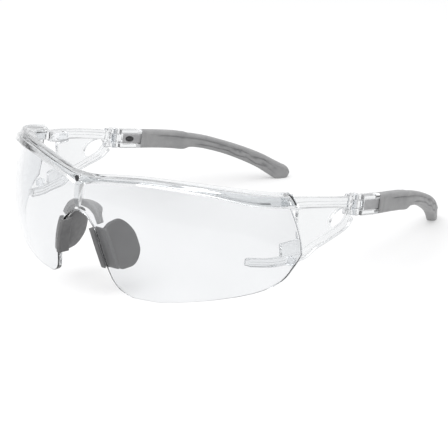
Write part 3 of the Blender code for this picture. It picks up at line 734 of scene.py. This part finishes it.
def pad_channel():
    """A channel along the lens's nose edge: its section is a U round the wall, with a wider inner leg."""
    z = np.linspace(PAD_BOTTOM_Z, PAD_TOP_Z, 60)
    edge = smooth_line(PAD_EDGE, z)[0]
    inside = -LENS_WALL - GAP
    floor_side, outer_side = CHANNEL_SIDE
    flange = [(-outer_side, FLANGE_FRONT), (FLANGE_REACH, FLANGE_FRONT), (FLANGE_REACH, GAP)]
    channel_floor = [(-floor_side, GAP), (-floor_side, inside)]
    leg = [(LEG_REACH, inside), (LEG_REACH, inside - LEG_WALL), (-outer_side, inside - LEG_WALL)]
    section = rounded(flange + channel_floor + leg, 0.4)
    return skin("channel", lens_point(edge[:, None] + section[:, 0], z[:, None], section[:, 1]))


def pad_wing():
    """A pillow over the D-shaped outline. As t turns from 0 to 180 degrees the outline is drawn in to its
    middle by sin(t)^0.75, and stands half of WING_WALL times cos(t)^0.45 off the middle plane. The middle
    is bowed a little towards the nose."""
    outline = spread(WING_OUTLINE + WING_OUTLINE[:1], 145)[:-1]
    middle = outline.mean(axis=0)
    turn = np.radians(np.concatenate([np.linspace(2, 88, 22), np.linspace(92, 178, 22)]))
    share = np.sin(turn)[:, None]
    half = WING_WALL / 2 * np.sign(np.cos(turn)) * np.abs(np.cos(turn)) ** 0.45
    flat = middle + (outline - middle)[None] * share[..., None] ** 0.75
    y, z = flat[..., 0], flat[..., 1]
    centre_x, centre_y, centre_z = WING_CENTRE
    x = centre_x + WING_SPLAY * (y - centre_y) + WING_LEAN * (centre_z - z)
    x = x + half[:, None] - WING_BOW * (1 - share**2)
    return skin("wing", np.stack([x, y, z], axis=-1))


def nose_saddle():
    """A band behind the bridge of the lens: a flange flat on the lens and a lip that runs back from it."""
    line = spread(SADDLE_LINE, 90)
    along = np.gradient(line, axis=0)
    along /= np.linalg.norm(along, axis=1)[:, None]
    reach = smooth_line(SADDLE_LIP, np.abs(line[:, 0]))[0]
    flat = np.zeros_like(reach)
    lifts = [flat + 1.3, flat + 1.2, flat - 0.1, flat - 0.1, flat - 1.3, flat - 1.3]
    depths = [flat, flat + 1.5, flat + 2.6, reach, reach, flat]
    shape = rounded(np.stack([np.column_stack(lifts), np.column_stack(depths)], axis=-1), 0.5)
    x = line[:, :1] - shape[..., 0] * along[:, 1:]
    z = line[:, 1:] + shape[..., 0] * along[:, :1]
    points = lens_point(x, z, -LENS_WALL - GAP)
    points[..., 1] += shape[..., 1]
    return soft_body("rubber_nose_saddle", [skin("saddle", points)])


# Materials

def new_material(name):
    made = bpy.data.materials.new(name)
    made.use_nodes = True
    tree = made.node_tree
    return made, tree, tree.nodes["Principled BSDF"]


def noise(tree, scale, detail=4.0, roughness=0.55, distortion=0.0):
    """A noise over the piece's own place, in blotches of about one over scale metres."""
    place_node = tree.nodes.new("ShaderNodeTexCoord")
    made = tree.nodes.new("ShaderNodeTexNoise")
    made.inputs["Scale"].default_value = scale
    made.inputs["Detail"].default_value = detail
    made.inputs["Roughness"].default_value = roughness
    made.inputs["Distortion"].default_value = distortion
    tree.links.new(place_node.outputs["Object"], made.inputs["Vector"])
    return made.outputs["Fac"]


def between(tree, factor, low, high, start=0.35, stop=0.65):
    """Maps a factor to a number from low to high."""
    made = tree.nodes.new("ShaderNodeMapRange")
    made.interpolation_type = "SMOOTHSTEP"
    for socket, value in zip(("From Min", "From Max", "To Min", "To Max"), (start, stop, low, high)):
        made.inputs[socket].default_value = value
    tree.links.new(factor, made.inputs["Value"])
    return made.outputs["Result"]


def tinted(tree, factor, low, high, start=0.35, stop=0.65):
    """Maps a factor to a colour from low to high."""
    made = tree.nodes.new("ShaderNodeValToRGB")
    made.color_ramp.elements[0].position = start
    made.color_ramp.elements[1].position = stop
    made.color_ramp.elements[0].color = (*low, 1)
    made.color_ramp.elements[1].color = (*high, 1)
    tree.links.new(factor, made.inputs["Fac"])
    return made.outputs["Color"]


def bump(tree, heights, shader):
    """Chained bumps, each given as (height output, strength, distance in metres)."""
    normal = None
    for height, strength, distance in heights:
        made = tree.nodes.new("ShaderNodeBump")
        made.inputs["Strength"].default_value = strength
        made.inputs["Distance"].default_value = distance
        tree.links.new(height, made.inputs["Height"])
        if normal:
            tree.links.new(normal, made.inputs["Normal"])
        normal = made.outputs["Normal"]
    tree.links.new(normal, shader.inputs["Normal"])


def clear_plastic(name, low, high, smear, wave, bending):
    """Polished clear plastic: its tint drifts a little, fingerprints dull it in patches, and the mould
    leaves long faint waves."""
    made, tree, shader = new_material(name)
    shader.inputs["Transmission Weight"].default_value = 1.0
    shader.inputs["IOR"].default_value = bending
    tree.links.new(tinted(tree, noise(tree, 28, 2), low, high), shader.inputs["Base Color"])
    dullness = between(tree, noise(tree, 75, 5, 0.6, 0.8), 0.0, smear, 0.45, 0.8)
    tree.links.new(dullness, shader.inputs["Roughness"])
    bump(tree, [(noise(tree, 120, 2), wave, 0.0004), (noise(tree, 900, 2), wave * 0.25, 0.0001)], shader)
    return made


def rubber(name, low, high, shaded_grooves=False):
    """Soft grey rubber: fine mould grain, faint blotches, a dry sheen and, on the sleeve, painted shade in
    its moulded lines.
    """
    made, tree, shader = new_material(name)
    shader.inputs["Sheen Weight"].default_value = 0.12
    shader.inputs["Sheen Roughness"].default_value = 0.5
    shader.inputs["Specular IOR Level"].default_value = 0.4
    colour = tinted(tree, noise(tree, 160, 6, 0.6, 0.4), low, high, 0.3, 0.7)
    if shaded_grooves:
        # painted shade: the colour is multiplied by 0.62 along the moulded lines that the sleeve's groove
        # attribute marks
        lines = tree.nodes.new("ShaderNodeAttribute")
        lines.attribute_name = "groove"
        darker = tree.nodes.new("ShaderNodeMix")
        darker.data_type = "RGBA"
        darker.blend_type = "MULTIPLY"
        darker.inputs[7].default_value = (0.62, 0.62, 0.63, 1)
        tree.links.new(lines.outputs["Fac"], darker.inputs[0])
        tree.links.new(colour, darker.inputs[6])
        colour = darker.outputs[2]
    tree.links.new(colour, shader.inputs["Base Color"])
    tree.links.new(between(tree, noise(tree, 320, 5, 0.6), 0.46, 0.64), shader.inputs["Roughness"])
    bump(tree, [(noise(tree, 260, 3), 0.12, 0.0004), (noise(tree, 3600, 3, 0.7), 0.22, 0.00006)], shader)
    return made


def grey_plastic(name, low, high):
    """Moulded nylon: fine spark-eroded grain, flow marks and worn, shinier patches."""
    made, tree, shader = new_material(name)
    colour = tinted(tree, noise(tree, 220, 5, 0.6, 1.2), low, high, 0.3, 0.7)
    tree.links.new(colour, shader.inputs["Base Color"])
    tree.links.new(between(tree, noise(tree, 500, 4), 0.3, 0.48), shader.inputs["Roughness"])
    bump(tree, [(noise(tree, 2400, 3, 0.65), 0.25, 0.00005)], shader)
    return made


def steel(name):
    """Bright steel: a very fine grain and small dull patches."""
    made, tree, shader = new_material(name)
    shader.inputs["Metallic"].default_value = 1.0
    colour = tinted(tree, noise(tree, 700, 5), (0.74, 0.75, 0.77), (0.86, 0.87, 0.88))
    tree.links.new(colour, shader.inputs["Base Color"])
    tree.links.new(between(tree, noise(tree, 1600, 5), 0.12, 0.3), shader.inputs["Roughness"])
    bump(tree, [(noise(tree, 5200, 2), 0.15, 0.00003)], shader)
    return made


LOOKS = {
    "clear_lens": clear_plastic(
        "polished_clear_lens",
        (0.825, 0.835, 0.845), (0.855, 0.865, 0.875),
        smear=0.06, wave=0.02, bending=1.42,
    ),
    "clear_frame": clear_plastic(
        "clear_moulded_frame",
        (0.835, 0.845, 0.85), (0.875, 0.885, 0.89),
        smear=0.10, wave=0.03, bending=1.36,
    ),
    "clear_trim": clear_plastic(
        "clear_moulded_trim",
        (0.86, 0.875, 0.89), (0.92, 0.93, 0.94),
        smear=0.12, wave=0.05, bending=1.4,
    ),
    # near-black plastic for the centre stud and the lock pegs; on the clear lock pegs it is painted shade,
    # standing for the dark of the hole they sit in
    "dark_stud_and_painted_peg_shade": grey_plastic("dark_smoked_plastic", (0.018, 0.018, 0.02), (0.04, 0.04, 0.043)),
    "nose_rubber": rubber("dark_grey_nose_rubber", (0.098, 0.098, 0.100), (0.136, 0.136, 0.136)),
    # the saddle is the pads' nose rubber; this lighter copy of it is painted light for the light that falls
    # on the saddle's front
    "saddle_painted_light_rubber": rubber("light_grey_saddle_rubber", (0.25, 0.25, 0.253), (0.32, 0.32, 0.32)),
    # this look paints shade into the sleeve's moulded lines
    "sleeve_rubber": rubber("mid_grey_sleeve_rubber", (0.232, 0.232, 0.235), (0.300, 0.300, 0.300), True),
    "grey_plastic": grey_plastic("grey_core_plastic", (0.27, 0.27, 0.275), (0.35, 0.35, 0.355)),
    "pin_steel": steel("turned_pin_steel"),
}


# Putting the pieces in the frame

def install(piece, cad_body, slot, node, look=None):
    """Gives a piece its finish, makes it stand for its CAD node and sets it on its body."""
    piece.data.materials.clear()
    piece.data.materials.append(LOOKS[look or slot])
    if slot.startswith("clear"):
        # light goes through clear plastic almost unweakened, and the small dark trim shares its slot
        piece.visible_shadow = False
        piece.visible_diffuse = False
    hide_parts(node)
    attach(piece, cad_body)


def install_pair(left, cad_bodies, slot, node, look=None):
    """The left piece and its mirror image."""
    right = other_side(left, left.name.replace("_left", "_right"))
    for piece, cad_body, side in ((left, cad_bodies[0], "left"), (right, cad_bodies[1], "right")):
        install(piece, cad_body, slot, f"{node}_{side}", look)


FRONT = ("front", "front")
TEMPLES = ("left_temple", "right_temple")

install(lens(), "front", "clear_lens", "lens")
install(brow_bar(), "front", "clear_frame", "brow_bar")
install(centre_stud(), "front", "clear_trim", "centre_stud", "dark_stud_and_painted_peg_shade")
# the saddle takes the nose rubber's slot but a lighter copy of it: painted light
install(nose_saddle(), "front", "nose_rubber", "nose_saddle", "saddle_painted_light_rubber")
install_pair(side_shield(), FRONT, "clear_frame", "side_shield")
install_pair(hinge_pin(), FRONT, "pin_steel", "hinge_pin")
install_pair(corner_clip(), FRONT, "clear_trim", "corner_clip")
install_pair(lens_catch(), FRONT, "clear_trim", "lens_catch")
nose_pad = soft_body("rubber_nose_pad_left", [pad_channel(), pad_wing()])
install_pair(nose_pad, FRONT, "nose_rubber", "nose_pad", None)
install_pair(temple_arm(), TEMPLES, "clear_frame", "temple_arm")
install_pair(temple_core(), TEMPLES, "grey_plastic", "temple_core")
# the clear lock pegs get a near-black look: painted shade of their hole
install_pair(lock_peg(), TEMPLES, "clear_trim", "lock_peg", "dark_stud_and_painted_peg_shade")
install_pair(temple_sleeve(), TEMPLES, "sleeve_rubber", "temple_sleeve")


# Studio

def floor():
    mesh = bpy.data.meshes.new("studio_floor")
    corners = [(-1, -1), (1, -1), (1, 1), (-1, 1)]
    mesh.from_pydata([(x * FLOOR_HALF, y * FLOOR_HALF, 0) for x, y in corners], [], [(0, 1, 2, 3)])
    made = bpy.data.objects.new("studio_floor", mesh)
    bpy.context.scene.collection.objects.link(made)
    made.location.z = -FLOOR_DROP
    look, tree, shader = new_material("pale_floor")
    shader.inputs["Roughness"].default_value = 0.9
    shader.inputs["Specular IOR Level"].default_value = 0.1
    shader.inputs["Emission Color"].default_value = (1, 1, 1, 1)
    shader.inputs["Emission Strength"].default_value = FLOOR_GLOW
    colour = tinted(tree, noise(tree, 3, 2), (0.50, 0.50, 0.50), (0.52, 0.52, 0.52))
    tree.links.new(colour, shader.inputs["Base Color"])
    mesh.materials.append(look)


def area_light(name, size, power, position, target):
    data = bpy.data.lights.new(name, "AREA")
    data.shape = "RECTANGLE"
    data.size, data.size_y = size
    data.energy = power
    made = bpy.data.objects.new(name, data)
    made.location = position
    made.rotation_euler = (Vector(target) - Vector(position)).to_track_quat("-Z", "Y").to_euler()
    bpy.context.scene.collection.objects.link(made)


def studio_world():
    """A soft box of sky: bright overhead, grey towards the horizon."""
    world = bpy.data.worlds.new("studio")
    world.use_nodes = True
    tree = world.node_tree
    direction = tree.nodes.new("ShaderNodeTexCoord")
    split = tree.nodes.new("ShaderNodeSeparateXYZ")
    half = tree.nodes.new("ShaderNodeMath")
    half.operation = "MULTIPLY_ADD"
    half.inputs[1].default_value = 0.5
    half.inputs[2].default_value = 0.5
    ramp = tree.nodes.new("ShaderNodeValToRGB")
    tree.links.new(direction.outputs["Generated"], split.inputs[0])
    tree.links.new(split.outputs["Z"], half.inputs[0])
    tree.links.new(half.outputs[0], ramp.inputs["Fac"])
    stops = ramp.color_ramp.elements
    while len(stops) < len(SKY):
        stops.new(0.5)
    for stop, (position, radiance) in zip(stops, SKY):
        stop.position = position
        stop.color = (radiance, radiance, radiance * 1.01, 1)
    background = tree.nodes["Background"]
    background.inputs["Strength"].default_value = 1.0
    tree.links.new(ramp.outputs["Color"], background.inputs["Color"])
    bpy.context.scene.world = world


def camera():
    data = bpy.data.cameras.new("camera")
    data.lens = CAMERA_LENS
    data.sensor_width = 36.0
    made = bpy.data.objects.new("camera", data)
    look = (CAMERA_TARGET - CAMERA_PLACE).to_track_quat("-Z", "Y").to_matrix().to_4x4()
    made.matrix_world = Matrix.Translation(CAMERA_PLACE) @ look @ Matrix.Rotation(CAMERA_ROLL, 4, "Z")
    bpy.context.scene.collection.objects.link(made)
    bpy.context.scene.camera = made


floor()
area_light("overhead_softbox", (1.8, 1.8), 17, (0.15, -0.5, 1.4), (0, 0, 0))
studio_world()
camera()

view = bpy.context.scene.view_settings
view.view_transform = "Standard"
light_paths = bpy.context.scene.cycles
light_paths.max_bounces = 24
light_paths.transmission_bounces = 24
light_paths.glossy_bounces = 12
